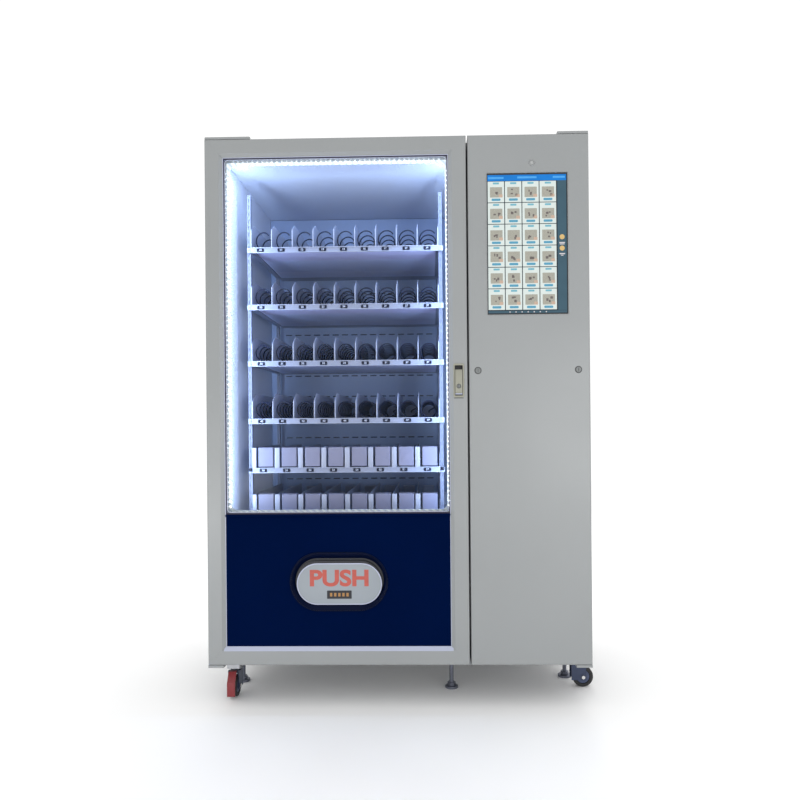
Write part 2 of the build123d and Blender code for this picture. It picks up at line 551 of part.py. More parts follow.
PEDAL_HALF, PEDAL_Y, PEDAL_TIP = 14, WHEEL_LEFT[1] - 14, 13
PEDAL_PIN = (WHEEL_LEFT[0], PEDAL_Y, 91.5)
for name, pivot, wheel, sideways in (
    ("caster_fork_front_left", SWIVEL_LEFT, WHEEL_LEFT, False),
    ("caster_fork_front_right", SWIVEL_RIGHT, WHEEL_RIGHT, True),
):
    with BuildPart() as fork:
        caster_fork(pivot, wheel, sideways)
        rod("z", (*pivot, 94), 6, 14)
        if name == "caster_fork_front_left":
            for side in (-1, 1):
                ear = sorted((wheel[0] + side * (PEDAL_HALF + 0.5), wheel[0] + side * (PEDAL_HALF + 3.5)))
                block(ear, (PEDAL_Y - 4, PEDAL_Y + 7), (CROWN[0], 95))
            rod("x", PEDAL_PIN, 1.5, 2 * PEDAL_HALF + 5)
    save(fork, name)

for name, centre, axis in (
    ("wheel_front_left", WHEEL_LEFT, "x"),
    ("wheel_front_right", WHEEL_RIGHT, "y"),
    ("wheel_rear_left", REAR_WHEELS[0], "x"),
    ("wheel_rear_right", REAR_WHEELS[1], "x"),
):
    save(caster_wheel(centre, axis), name)

with BuildPart() as brake_pedal:
    with BuildSketch(Plane.YZ.offset(WHEEL_LEFT[0] - PEDAL_HALF)):
        with BuildLine():
            Polyline(
                (PEDAL_Y + 3, 89), (PEDAL_Y + 3, 94), (PEDAL_Y - 10, 94), (PEDAL_Y - 30, 60),
                (PEDAL_Y - 30, PEDAL_TIP), (PEDAL_Y - 26, PEDAL_TIP), (PEDAL_Y - 26, 58), (PEDAL_Y - 8, 89),
                close=True,
            )
        make_face()
    extrude(amount=2 * PEDAL_HALF)
    rod("x", PEDAL_PIN, 1.5 + RUNNING, 2 * PEDAL_HALF + 2, Mode.SUBTRACT)
save(brake_pedal, "brake_pedal")

for name, (x, y, radius) in FEET.items():
    with BuildPart() as foot:
        rod("z", (x, y, 4), radius, 8)
        fillet(foot.edges().filter_by(GeomType.CIRCLE).group_by(Axis.Z)[-1], 3)
        rod("z", (x, y, (6 + STEM_TOP) / 2), STEM_R, STEM_TOP - 6)
        with BuildSketch(Plane.XY.offset(8)):
            with Locations((x, y)):
                RegularPolygon(15, 6)
        extrude(amount=12)
    save(foot, name)

# ---------------------------------------------------------------- trays


def lane_centres(lanes):
    """The middle of each lane across the machine."""
    pitch = (TRAY_RIGHT - TRAY_LEFT) / lanes
    return [TRAY_LEFT + (lane + 0.5) * pitch for lane in range(lanes)]


def tray_body(rail_top, lanes, divider_height):
    """One tray: pan, front rail with its end brackets, upright dividers, and a motor behind each lane."""
    pitch = (TRAY_RIGHT - TRAY_LEFT) / lanes
    floor = rail_top - TRAY_FLOOR_DROP
    top = rail_top + divider_height
    front, rear = TRAY_FRONT + SEAM, TRAY_BACK - 6
    with BuildPart() as tray:
        block((TRAY_LEFT, TRAY_RIGHT), (TRAY_FRONT, TRAY_BACK + 40), (floor - 2, floor))
        rail = (TRAY_LEFT - 14, TRAY_RIGHT + 18), (TRAY_FRONT - 3, TRAY_FRONT - SEAM)
        block(*rail, (rail_top - RAIL_H, rail_top))
        for lane in range(lanes + 1):
            side = min(max(lane * pitch, DIVIDER_T / 2), lanes * pitch - DIVIDER_T / 2)
            with BuildSketch(Plane.YZ.offset(TRAY_LEFT + side - DIVIDER_T / 2)):
                with BuildLine():
                    base = floor + SEAM
                    Polyline(
                        (front, base), (rear, base), (rear, top), (front + 47, top), (front, top - 28),
                        close=True,
                    )
                make_face()
            extrude(amount=DIVIDER_T)
        for x in lane_centres(lanes):
            block((x - 24, x + 24), (TRAY_BACK + 2, TRAY_BACK + 36), (floor + SEAM, floor + 62))
    return tray


def spiral(pitch):
    """A wire coil along Y about the origin's axis, ending in the shaft that its motor turns."""
    length = round(COIL_LENGTH / pitch) * pitch
    start, end = TRAY_FRONT + 8, TRAY_FRONT + 8 + length
    with BuildPart() as coil:
        with BuildLine() as path:
            Helix(pitch, length, COIL_R, center=(0, start, 0), direction=(0, 1, 0), lefthand=True)
        with BuildSketch(Plane(origin=path.line @ 0, z_dir=path.line % 0)):
            RegularPolygon(WIRE_R, WIRE_SIDES)
        sweep(is_frenet=True)
        beyond = (path.line % 1).X > 0  # the side that the wire's end faces
        arm = sorted((ARM_GAP, ARM_GAP + 2 * WIRE_R) if beyond else (-ARM_GAP - 2 * WIRE_R, -ARM_GAP))
        block(arm, (end - WIRE_R, end + WIRE_R), (0, COIL_R + WIRE_R))
        rod("y", (0, (end + TRAY_BACK + 1) / 2, 0), WIRE_R * 1.6, TRAY_BACK + 1 - end)
    return coil.part


for number, rail_top in enumerate(RAIL_TOPS, start=1):
    turned = (0, COIL_START, 0)
    spots = [Location((x, 0, rail_top + COIL_RISE), turned) for x in lane_centres(COIL_LANES)]
    if number == 1:
        save(tray_body(rail_top, COIL_LANES, DIVIDER_H), f"tray_{number}")
        coils = {pitch: spiral(pitch) for pitch in set(TOP_COIL_PITCHES)}
        for lane, (spot, pitch) in enumerate(zip(spots, TOP_COIL_PITCHES), start=1):
            with BuildPart() as single_coil:
                add(coils[pitch].moved(spot))
            save(single_coil, f"coil_{lane}")
    elif number in COIL_PITCHES:
        save(tray_body(rail_top, COIL_LANES, DIVIDER_H), f"tray_{number}")
        coil = spiral(COIL_PITCHES[number])
        with BuildPart() as coil_row:
            with Locations(*spots):
                add(coil)
        save(coil_row, f"tray_{number}_coils")
    else:
        save(tray_body(rail_top, PUSHER_LANES, LOW_DIVIDER_H), f"tray_{number}")
        with BuildPart() as pusher_row:
            low = rail_top + 1
            for x in lane_centres(PUSHER_LANES):
                centre = x + FLANGE_W / 2 - 2
                block(
                    (centre - PUSHER_W / 2, centre + PUSHER_W / 2),
                    (TRAY_FRONT + 2, TRAY_FRONT + 2 + PUSHER_DEPTH),
                    (low, low + PUSHER_H),
                )
        save(pusher_row, f"tray_{number}_pushers")
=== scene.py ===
"""Snack vending machine: the looks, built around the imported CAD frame. Metres, the CAD's own axes."""

import json
import math
import random

import bmesh
import bpy
from mathutils import Matrix, Vector


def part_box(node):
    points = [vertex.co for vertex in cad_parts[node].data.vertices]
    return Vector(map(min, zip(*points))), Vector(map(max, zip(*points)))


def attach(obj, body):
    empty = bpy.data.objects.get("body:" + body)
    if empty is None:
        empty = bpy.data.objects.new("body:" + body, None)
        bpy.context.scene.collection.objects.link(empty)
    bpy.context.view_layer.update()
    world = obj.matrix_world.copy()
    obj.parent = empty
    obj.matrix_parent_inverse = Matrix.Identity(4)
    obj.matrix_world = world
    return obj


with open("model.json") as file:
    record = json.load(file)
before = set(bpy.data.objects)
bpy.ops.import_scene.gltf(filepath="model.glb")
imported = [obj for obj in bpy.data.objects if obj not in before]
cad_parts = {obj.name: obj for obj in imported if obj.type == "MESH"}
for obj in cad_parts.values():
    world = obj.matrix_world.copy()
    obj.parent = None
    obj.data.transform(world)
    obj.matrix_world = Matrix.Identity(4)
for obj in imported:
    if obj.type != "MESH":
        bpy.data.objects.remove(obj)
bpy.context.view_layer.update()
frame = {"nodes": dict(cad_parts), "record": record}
random.seed(11)
scene = bpy.context.scene
MM = 0.001

# ---------------------------------------------------------------- places, read from the frame

door_low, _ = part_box("door_frame")
panel_low, panel_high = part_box("lower_panel")
glass_low, glass_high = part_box("door_glass")
_, control_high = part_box("control_door")
screen_low, screen_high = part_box("touch_screen")
liner_low, liner_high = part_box("insulated_liner")
side_low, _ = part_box("left_side_panel")
FACE = door_low.y
LEFT, RIGHT = door_low.x, control_high.x
LINER_LEFT_WALL, LINER_RIGHT_WALL = 50 * MM, 40 * MM
LINER_BACK, LINER_EDGE, LINER_CEILING = 0.350, -0.3372, 1.885
FRAME_BEVEL = 12 * MM

# ---------------------------------------------------------------- materials


def new_material(name):
    """A material whose shader is ready to be fed."""
    made = bpy.data.materials.new(name)
    made.use_nodes = True
    nodes = made.node_tree.nodes
    return made, nodes, made.node_tree.links, nodes["Principled BSDF"]


def noise(nodes, links, scale, detail=3.0, stretch=(1, 1, 1)):
    """A noise pattern fixed to the object, stretched along its axes."""
    place = nodes.new("ShaderNodeTexCoord")
    mapping = nodes.new("ShaderNodeMapping")
    mapping.inputs["Scale"].default_value = stretch
    pattern = nodes.new("ShaderNodeTexNoise")
    pattern.inputs["Scale"].default_value = scale
    pattern.inputs["Detail"].default_value = detail
    links.new(place.outputs["Object"], mapping.inputs["Vector"])
    links.new(mapping.outputs["Vector"], pattern.inputs["Vector"])
    return pattern.outputs["Fac"]


def spread(nodes, links, factor, low, high):
    """A number that runs from low to high as the pattern runs from dark to light."""
    ranged = nodes.new("ShaderNodeMapRange")
    ranged.inputs["From Min"].default_value = 0.3
    ranged.inputs["From Max"].default_value = 0.7
    ranged.inputs["To Min"].default_value = low
    ranged.inputs["To Max"].default_value = high
    links.new(factor, ranged.inputs["Value"])
    return ranged.outputs["Result"]


def shades(nodes, links, factor, color, change):
    """The colour, a little darker and lighter with the pattern."""
    mixed = nodes.new("ShaderNodeMix")
    mixed.data_type = "RGBA"
    mixed.inputs["A"].default_value = (*[c * (1 - change) for c in color], 1)
    mixed.inputs["B"].default_value = (*[min(1, c * (1 + change)) for c in color], 1)
    links.new(factor, mixed.inputs["Factor"])
    return mixed.outputs["Result"]


def finish(
    name, color, rough=0.4, metal=0.0, change=0.06, grain=900, bump=0.05, coat=0.0, round_edge=0.0,
    stretch=(1, 1, 1), patch=3.0, specular=0.5,
):
    """A surface with broad shade changes, fine grain in its bump, uneven gloss and softened edges."""
    made, nodes, links, shader = new_material(name)
    broad = noise(nodes, links, patch, 4.0)
    fine = noise(nodes, links, grain, 2.0, stretch)
    links.new(shades(nodes, links, broad, color, change), shader.inputs["Base Color"])
    links.new(spread(nodes, links, broad, rough * 0.85, min(1, rough * 1.15)), shader.inputs["Roughness"])
    shader.inputs["Metallic"].default_value = metal
    shader.inputs["Coat Weight"].default_value = coat
    shader.inputs["Coat Roughness"].default_value = 0.12
    shader.inputs["Specular IOR Level"].default_value = specular
    relief = nodes.new("ShaderNodeBump")
    relief.inputs["Strength"].default_value = bump
    relief.inputs["Distance"].default_value = 0.0004
    links.new(fine, relief.inputs["Height"])
    if round_edge:
        soft = nodes.new("ShaderNodeBevel")
        soft.inputs["Radius"].default_value = round_edge
        links.new(soft.outputs["Normal"], relief.inputs["Normal"])
    links.new(relief.outputs["Normal"], shader.inputs["Normal"])
    return made


def glow(name, color, strength, change=0.1, patch=30.0, base=None, bands=0.0, specular=0.5):
    """A lit surface. Bands are the row of separate lights behind a diffuser, in bands per metre."""
    made, nodes, links, shader = new_material(name)
    if bands:
        place = nodes.new("ShaderNodeTexCoord")
        wave = nodes.new("ShaderNodeTexWave")
        wave.bands_direction = "DIAGONAL"
        wave.inputs["Scale"].default_value = bands
        links.new(place.outputs["Object"], wave.inputs["Vector"])
        fac = wave.outputs["Fac"]
    else:
        fac = noise(nodes, links, patch)
    links.new(shades(nodes, links, fac, color, change), shader.inputs["Emission Color"])
    links.new(shades(nodes, links, fac, base or color, change), shader.inputs["Base Color"])
    shader.inputs["Emission Strength"].default_value = strength
    shader.inputs["Roughness"].default_value = 0.35
    shader.inputs["Specular IOR Level"].default_value = specular
    return made


def leave_foot_unlit(material, lamp, strength):
    """Fades a lit surface out towards the lowest part of the lamp's mesh, where no light is seen."""
    nodes, links = material.node_tree.nodes, material.node_tree.links
    foot = min(v.co.z for v in lamp.data.vertices)
    place = nodes.new("ShaderNodeTexCoord")
    split = nodes.new("ShaderNodeSeparateXYZ")
    fade = nodes.new("ShaderNodeMapRange")
    fade.inputs["From Min"].default_value = foot + 20 * MM
    fade.inputs["From Max"].default_value = foot + 60 * MM
    fade.inputs["To Min"].default_value = UNLIT_STRENGTH
    fade.inputs["To Max"].default_value = strength
    links.new(place.outputs["Object"], split.inputs["Vector"])
    links.new(split.outputs["Z"], fade.inputs["Value"])
    links.new(fade.outputs["Result"], nodes["Principled BSDF"].inputs["Emission Strength"])


def clear_glass(name, color, alpha):
    """Thin clear sheet: mostly see-through, with a sharp reflection and faint wipe marks."""
    made, nodes, links, shader = new_material(name)
    smear = noise(nodes, links, 4.0, 5.0, (1, 1, 0.3))
    links.new(shades(nodes, links, smear, color, 0.1), shader.inputs["Base Color"])
    links.new(spread(nodes, links, smear, 0.01, 0.05), shader.inputs["Roughness"])
    shader.inputs["Alpha"].default_value = alpha
    shader.inputs["Specular IOR Level"].default_value = 0.8
    made.surface_render_method = "BLENDED"
    return made


# each call: name, colour, roughness, metal, change of shade, grain, bump, coat, radius of the softened edges
silver = finish("silver_powder_coat", (0.265, 0.277, 0.280), 0.38, 0.15, 0.05, 1100, 0.12, 0.05, 0.0015)
grey = finish("grey_powder_coat", (0.19, 0.20, 0.21), 0.5, 0.1, 0.07, 900, 0.15, 0.0, 0.001)
navy = finish("navy_paint", (0.0006, 0.0048, 0.032), 0.34, 0.0, 0.18, 1300, 0.05, 0.0, 0.001, specular=0.0)
navy_ring = finish(
    "navy_ring", (0.0010, 0.0035, 0.020), 0.30, 0.0, 0.18, 1300, 0.05, 0.0, 0.002, specular=0.08,
)
liner_white = finish("liner_white", (0.56, 0.61, 0.74), 0.42, 0.0, 0.04, 700, 0.06, 0.0, 0.002)
tray_white = finish("tray_white", (0.27, 0.30, 0.41), 0.36, 0.0, 0.05, 900, 0.06, 0.1, 0.0006)
# tray underside colours are painted light and shade: a lit band behind the rail, a shaded middle and a
# lighter rear
under_painted_lit_band = finish("tray_under_band", (0.50, 0.51, 0.80), 0.4, 0.0, 0.05, 900, 0.06, 0.0, 0.0006)
under_shade = finish("tray_under_shade", (0.50, 0.57, 0.84), 0.45, 0.0, 0.06, 900, 0.06, 0.0, 0.0006)
under_rear_painted_lit = finish("tray_under_rear", (0.60, 0.65, 0.90), 0.45, 0.0, 0.06, 900, 0.06, 0.0, 0.0006)
post_grey = finish("post_paint", (0.13, 0.15, 0.23), 0.4, 0.0, 0.06, 900, 0.06, 0.0, 0.0006)
# slate blue-grey of the back duct: painted shade for the dark back of the cabinet
duct_painted_shade = finish("duct_painted_shade", (0.31, 0.39, 0.58), 0.5, 0.1, 0.08, 700, 0.08, 0.0, 0.001)
wire = finish("coil_lacquer", (0.010, 0.013, 0.032), 0.42, 0.0, 0.25, 1500, 0.06, patch=40, specular=0.12)
pusher = finish("pusher_plastic", (0.205, 0.21, 0.31), 0.3, 0.0, 0.04, 1200, 0.04, 0.1, 0.002)
rubber = finish("seal_rubber", (0.018, 0.014, 0.040), 0.62, 0.0, 0.2, 1500, 0.2)
black = finish("black_plastic", (0.010, 0.011, 0.016), 0.4, 0.0, 0.2, 2200, 0.12, 0.0, 0.001)
handle_paint = finish("handle_paint", (0.27, 0.27, 0.22), 0.3, 0.4, 0.08, 1500, 0.06, 0.2, 0.0015)
chrome = finish("lock_chrome", (0.70, 0.70, 0.70), 0.16, 1.0, 0.06, 1500, 0.04, patch=60)
steel = finish(
    "galvanised_steel", (0.42, 0.43, 0.45), 0.38, 0.9, 0.22, 300, 0.10, 0.0, 0.001, (1, 1, 6), 35,
)
fork_paint = finish("fork_paint", (0.030, 0.042, 0.085), 0.36, 0.3, 0.12, 1200, 0.06, 0.1, 0.001, patch=20)
tyre = finish("tyre_rubber", (0.012, 0.012, 0.014), 0.7, 0.0, 0.25, 1400, 0.35, patch=40)
hub_plastic = finish("hub_plastic", (0.045, 0.060, 0.12), 0.4, 0.1, 0.1, 1500, 0.08, 0.0, 0.001, patch=30)
red = finish("pedal_red", (0.20, 0.015, 0.020), 0.35, 0.0, 0.12, 1500, 0.06, 0.2, 0.002, patch=30)
foot_steel = finish("foot_steel", (0.15, 0.16, 0.20), 0.42, 0.8, 0.2, 900, 0.12, 0.0, 0.001, patch=40)
control_grey = finish("control_box", (0.24, 0.25, 0.26), 0.45, 0.6, 0.15, 500, 0.1, 0.0, 0.001)
screen_black = finish("screen_black", (0.006, 0.007, 0.010), 0.10, 0.0, 0.2, 600, 0.01, 0.3, 0.001)
lens_smoke = finish("lens_smoke", (0.33, 0.34, 0.34), 0.20, 0.0, 0.1, 600, 0.01, 0.1, patch=80)
lock_grey = finish("lock_grey", (0.19, 0.20, 0.20), 0.5, 0.2, 0.1, 1500, 0.06, 0.0, 0.001, patch=60)
lock_ring = finish("lock_ring", (0.075, 0.080, 0.080), 0.5, 0.2, 0.15, 1500, 0.06, 0.0, 0.0005, patch=60)
pad_grey = finish("pad_grey", (0.265, 0.295, 0.325), 0.36, 0.0, 0.05, 1500, 0.05, 0.1, 0.0015, patch=14)
pad_edge = finish("pad_edge", (0.44, 0.47, 0.60), 0.3, 0.0, 0.05, 1500, 0.04, 0.1, 0.001, patch=14)
push_red = finish("push_red", (0.42, 0.075, 0.055), 0.45, 0.0, 0.2, 1800, 0.08, patch=60)
tag_black = finish("tag_black", (0.010, 0.012, 0.026), 0.4, 0.0, 0.15, 1500, 0.04, patch=50, specular=0.12)
mark_amber = finish("mark_amber", (0.34, 0.17, 0.05), 0.4, 0.0, 0.1, 1500, 0.04, patch=80)
tag_white = finish("tag_white", (0.50, 0.54, 0.66), 0.4, 0.0, 0.05, 1500, 0.04, patch=80)
trim_white = finish("trim_white", (0.38, 0.41, 0.52), 0.3, 0.0, 0.04, 1500, 0.04, 0.1)
DIFFUSER_STRENGTH, UNLIT_STRENGTH = 0.9, 0.05
diffuser = glow("light_diffuser", (0.72, 0.84, 1.0), DIFFUSER_STRENGTH, 0.25, bands=28.0)
leave_foot_unlit(diffuser, frame["nodes"]["led_light_frame"], DIFFUSER_STRENGTH)
light_dot = glow("light_dot", (0.90, 0.96, 1.0), 7.0, 0.05)
glass = clear_glass("door_glass_clear", (0.02, 0.04, 0.08), 0.06)

BY_SLOT = {
    "paint_silver": silver,
    "paint_grey": grey,
    "paint_navy": navy,
    "liner_white": liner_white,
    "tray_white": tray_white,
    "coil_wire": wire,
    "pusher_white": pusher,
    "glass": glass,
    "screen_glass": screen_black,
    "light_diffuser": diffuser,
    "seal_rubber": rubber,
    "black_plastic": black,
    "handle_metal": handle_paint,
    "lock_chrome": chrome,
    "machine_steel": steel,
    "fork_steel": fork_paint,
    "tyre": tyre,
    "pedal_red": red,
    "foot_steel": foot_steel,
}
for part in frame["record"]["subparts"]:
    mesh = frame["nodes"][part["node"]].data
    mesh.materials.clear()
    mesh.materials.append(BY_SLOT[part["material_slot"]])
BY_NODE = {
    "lock_barrel_left": lock_grey,
    "lock_barrel_right": lock_grey,
    "handle_key_barrel": lock_grey,
    "camera_lens": lens_smoke,
    "flap_bezel": navy_ring,
    "tray_supports": post_grey,
    "control_electronics": control_grey,
}
for node, material in BY_NODE.items():
    frame["nodes"][node].data.materials[0] = material

# ---------------------------------------------------------------- building pieces


def piece(name, shape, material, body, smooth=False):
    """A finished piece from a bmesh: placed, painted, and moving with its body."""
    shape.normal_update()
    mesh = bpy.data.meshes.new(name)
    shape.to_mesh(mesh)
    shape.free()
    made = bpy.data.objects.new(name, mesh)
    scene.collection.objects.link(made)
    mesh.materials.append(material)
    if smooth:
        mesh.shade_smooth()
        mesh.set_sharp_from_angle(angle=math.radians(35))
    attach(made, body)


def add_block(into, low, high, edge=0.0, segments=2):
    """A box between two corners added to a bmesh, with rounded edges."""
    middle = (Vector(low) + Vector(high)) / 2
    extent = Vector(high) - Vector(low)
    place = Matrix.Translation(middle) @ Matrix.Diagonal((*extent, 1))
    made = bmesh.ops.create_cube(into, size=1, matrix=place)
    if edge:
        edges = {e for v in made["verts"] for e in v.link_edges}
        bmesh.ops.bevel(
            into, geom=list(edges), offset=edge, segments=segments, profile=0.5, affect="EDGES",
        )


def add_disc(into, centre, axis, radius, depth, edge=0.0, sides=32):
    """A short cylinder about an axis through its centre, with its rims rounded."""
    turn = Vector((0, 0, 1)).rotation_difference(Vector(axis)).to_matrix().to_4x4()
    made = bmesh.ops.create_cone(
        into, cap_ends=True, segments=sides, radius1=radius, radius2=radius, depth=depth,
        matrix=Matrix.Translation(centre) @ turn,
    )
    if edge:
        rims = {e for v in made["verts"] for e in v.link_edges if len(e.link_faces) == 2
                and any(len(f.verts) > 4 for f in e.link_faces)}
        bmesh.ops.bevel(into, geom=list(rims), offset=edge, segments=2, profile=0.5, affect="EDGES")


def rounded_outline(width, height, radius, steps=8):
    """Points round a rectangle with rounded corners, centred on nothing, anticlockwise."""
    points = []
    for turn, (sx, sz) in enumerate(((1, 1), (-1, 1), (-1, -1), (1, -1))):
        cx, cz = sx * (width / 2 - radius), sz * (height / 2 - radius)
        for step in range(steps + 1):
            angle = math.radians(90 * turn + 90 * step / steps)
            points.append((cx + radius * math.cos(angle), cz + radius * math.sin(angle)))
    return points


def add_plate(into, x, z, width, height, radius, front, depth, edge=0.0, steps=8):
    """A rounded plate that faces the front, its front edge eased."""
    rings = []
    for y, shrink in ((front + depth, 0), (front + edge, 0), (front, edge)):
        outline = rounded_outline(width - 2 * shrink, height - 2 * shrink, max(radius - shrink, 1e-4), steps)
        rings.append([into.verts.new((x + px, y, z + pz)) for px, pz in outline])
    if not edge:
        into.verts.ensure_lookup_table()
        for vert in rings.pop(1):
            into.verts.remove(vert)
    count = len(rings[0])
    for near, far in zip(rings, rings[1:]):
        for i in range(count):
            j = (i + 1) % count
            into.faces.new((near[i], near[j], far[j], far[i]))
    into.faces.new(rings[-1])
    into.faces.new(reversed(rings[0]))


def add_frame_ring(into, x, z, width, height, radius, band, front, depth, steps=8):
    """A flat ring with rounded corners that faces the front."""
    loops = []
    for y in (front, front + depth):
        for shrink in (0, band):
            outline = rounded_outline(
                width - 2 * shrink, height - 2 * shrink, max(radius - shrink, 5e-4), steps
            )
            loops.append([into.verts.new((x + px, y, z + pz)) for px, pz in outline])
    outer, inner, outer_back, inner_back = loops
    count = len(outer)
    for i in range(count):
        j = (i + 1) % count
        into.faces.new((outer[i], outer[j], inner[j], inner[i]))
        into.faces.new((inner[i], inner[j], inner_back[j], inner_back[i]))
        into.faces.new((inner_back[i], inner_back[j], outer_back[j], outer_back[i]))
        into.faces.new((outer_back[i], outer_back[j], outer[j], outer[i]))
    bmesh.ops.recalc_face_normals(into, faces=into.faces[:])


TYPE_SIZE = 1.38  # of the font, for a capital letter of height 1


def lettering(name, words, x, z, height, front, material, body, weight=0.0, width=None):
    """Raised letters that face the front, turned into a mesh of a given height and, if asked, width."""
    curve = bpy.data.curves.new(name, "FONT")
    curve.body = words
    curve.align_x, curve.align_y = "CENTER", "CENTER"
    curve.size = height * TYPE_SIZE
    curve.extrude = 0.15 * MM
    curve.offset = weight
    flat = bpy.data.objects.new(name + "_curve", curve)
    scene.collection.objects.link(flat)
    bpy.context.view_layer.update()
    mesh = bpy.data.meshes.new_from_object(flat.evaluated_get(bpy.context.evaluated_depsgraph_get()))
    bpy.data.objects.remove(flat)
    if width:
        corners = [v.co for v in mesh.vertices]
        spans = [max(c[axis] for c in corners) - min(c[axis] for c in corners) for axis in (0, 1)]
        mesh.transform(Matrix.Diagonal((width / spans[0], height / spans[1], 1, 1)))
    mesh.transform(Matrix.Translation((x, front, z)) @ Matrix.Rotation(math.pi / 2, 4, "X"))
    mesh.materials.clear()
    mesh.materials.append(material)
    made = bpy.data.objects.new(name, mesh)
    scene.collection.objects.link(made)
    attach(made, body)


def add_screw(into, centre, axis, radius):
    """A domed screw head with a hexagonal socket."""
    centre, axis = Vector(centre), Vector(axis)
    add_disc(into, centre + axis * radius * 0.15, axis, radius, radius * 0.5, radius * 0.22, 20)
    add_disc(into, centre + axis * radius * 0.40, axis, radius * 0.42, radius * 0.06, 0, 6)


def add_revolved(into, section, point, sides=40):
    """A ring made by turning a section of (radius, height) corners; point places each of them."""
    rings = []
    for step in range(sides):
        angle = math.tau * step / sides
        rings.append([into.verts.new(point(radius, angle, height)) for radius, height in section])
    for step in range(sides):
        near, far = rings[step], rings[(step + 1) % sides]
        for i in range(len(section)):
            j = (i + 1) % len(section)
            into.faces.new((near[i], near[j], far[j], far[i]))
    bmesh.ops.recalc_face_normals(into, faces=into.faces[:])


def collar_ring(into, centre, inner, outer, depth):
    """A round collar with a rounded section standing on the front face."""
    eased_inner, eased_outer = inner + 0.3 * MM, outer - 1.2 * MM
    section = [(inner, 0), (inner, depth * 0.7), (eased_inner, depth), (eased_outer, depth), (outer, 0)]
    x, y, z = centre
    add_revolved(into, section, lambda r, angle, h: (x + r * math.cos(angle), y - h, z + r * math.sin(angle)))


def collar_disc(into, centre, axis, inner, outer, depth):
    """A flat washer-like disc about an axis."""
    turn = Vector((0, 0, 1)).rotation_difference(axis).to_matrix()
    section = [(inner, 0), (inner, depth), (outer - 0.8 * MM, depth), (outer, depth * 0.4), (outer, 0)]
    add_revolved(
        into, section,
        lambda r, angle, h: Vector(centre) + turn @ Vector((r * math.cos(angle), r * math.sin(angle), h)),
    )


# ---------------------------------------------------------------- glass door


def door_trim():
    """The seal and white lines round the glass, the frame's lip and lit ledge, and the panel's sill."""
    x = (glass_low.x + glass_high.x) / 2
    z = (glass_low.z + glass_high.z) / 2
    wide, tall = glass_high.x - glass_low.x, glass_high.z - glass_low.z
    seal = bmesh.new()
    add_frame_ring(seal, x, z, wide, tall, 6 * MM, 5 * MM, glass_low.y - 2.5 * MM, 2.4 * MM)
    piece("glass_seal", seal, rubber, "glass_door")
    border = bmesh.new()
    add_frame_ring(
        border, x, z, wide - 11 * MM, tall - 11 * MM, 14 * MM, 2.2 * MM, glass_low.y - 1.2 * MM, 1.1 * MM,
    )
    piece("glass_border", border, trim_white, "glass_door")
    lip = bmesh.new()
    full_z = (panel_low.z + glass_high.z) / 2
    full_tall = glass_high.z - panel_low.z
    add_frame_ring(
        lip, x, full_z, wide + 0.6 * MM, full_tall + 0.6 * MM, 2 * MM, 2.2 * MM, FACE + 7.6 * MM, 1.2 * MM,
    )
    piece("frame_lip", lip, trim_white, "glass_door")
    ledge = bmesh.new()
    foot_z, head_z = panel_low.z - FRAME_BEVEL, panel_low.z
    section = [
        (FACE - 0.4 * MM, foot_z), (FACE + 7.4 * MM, head_z), (FACE + 7.9 * MM, head_z), (FACE, foot_z),
    ]
    ends = [
        [ledge.verts.new((end, y, z)) for y, z in section]
        for end in (glass_low.x - FRAME_BEVEL / 2, glass_high.x + FRAME_BEVEL / 2)
    ]
    for i in range(4):
        j = (i + 1) % 4
        ledge.faces.new((ends[0][i], ends[1][i], ends[1][j], ends[0][j]))
    ledge.faces.new(ends[0])
    ledge.faces.new(reversed(ends[1]))
    bmesh.ops.recalc_face_normals(ledge, faces=ledge.faces[:])
    piece("frame_ledge", ledge, trim_white, "glass_door")
    sill = bmesh.new()
    add_block(
        sill, (glass_low.x + MM, panel_low.y - 6 * MM, panel_high.z - 7 * MM),
        (glass_high.x - MM, panel_low.y - 0.1 * MM, panel_high.z - 0.5 * MM), 1.5 * MM,
    )
    piece("panel_sill", sill, navy, "glass_door", True)


def light_dots():
    """The row of small lights on the light frame."""
    low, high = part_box("led_light_frame")
    dots = bmesh.new()
    inset, pitch, end_gap = 12 * MM, 17 * MM, 30 * MM
    places = []
    for i in range(int((high.z - low.z - 2 * end_gap) / pitch) + 1):
        z = low.z + end_gap + i * pitch
        places += [(low.x + inset, z), (high.x - inset, z)]
    for i in range(int((high.x - low.x - 2 * end_gap) / pitch) + 1):
        places.append((low.x + end_gap + i * pitch, high.z - inset))
    for x, z in places:
        add_disc(dots, (x, low.y - 0.3 * MM, z), (0, -1, 0), 2.6 * MM, 1.2 * MM, 0.4 * MM, 10)
    piece("light_dots", dots, light_dot, "glass_door", True)


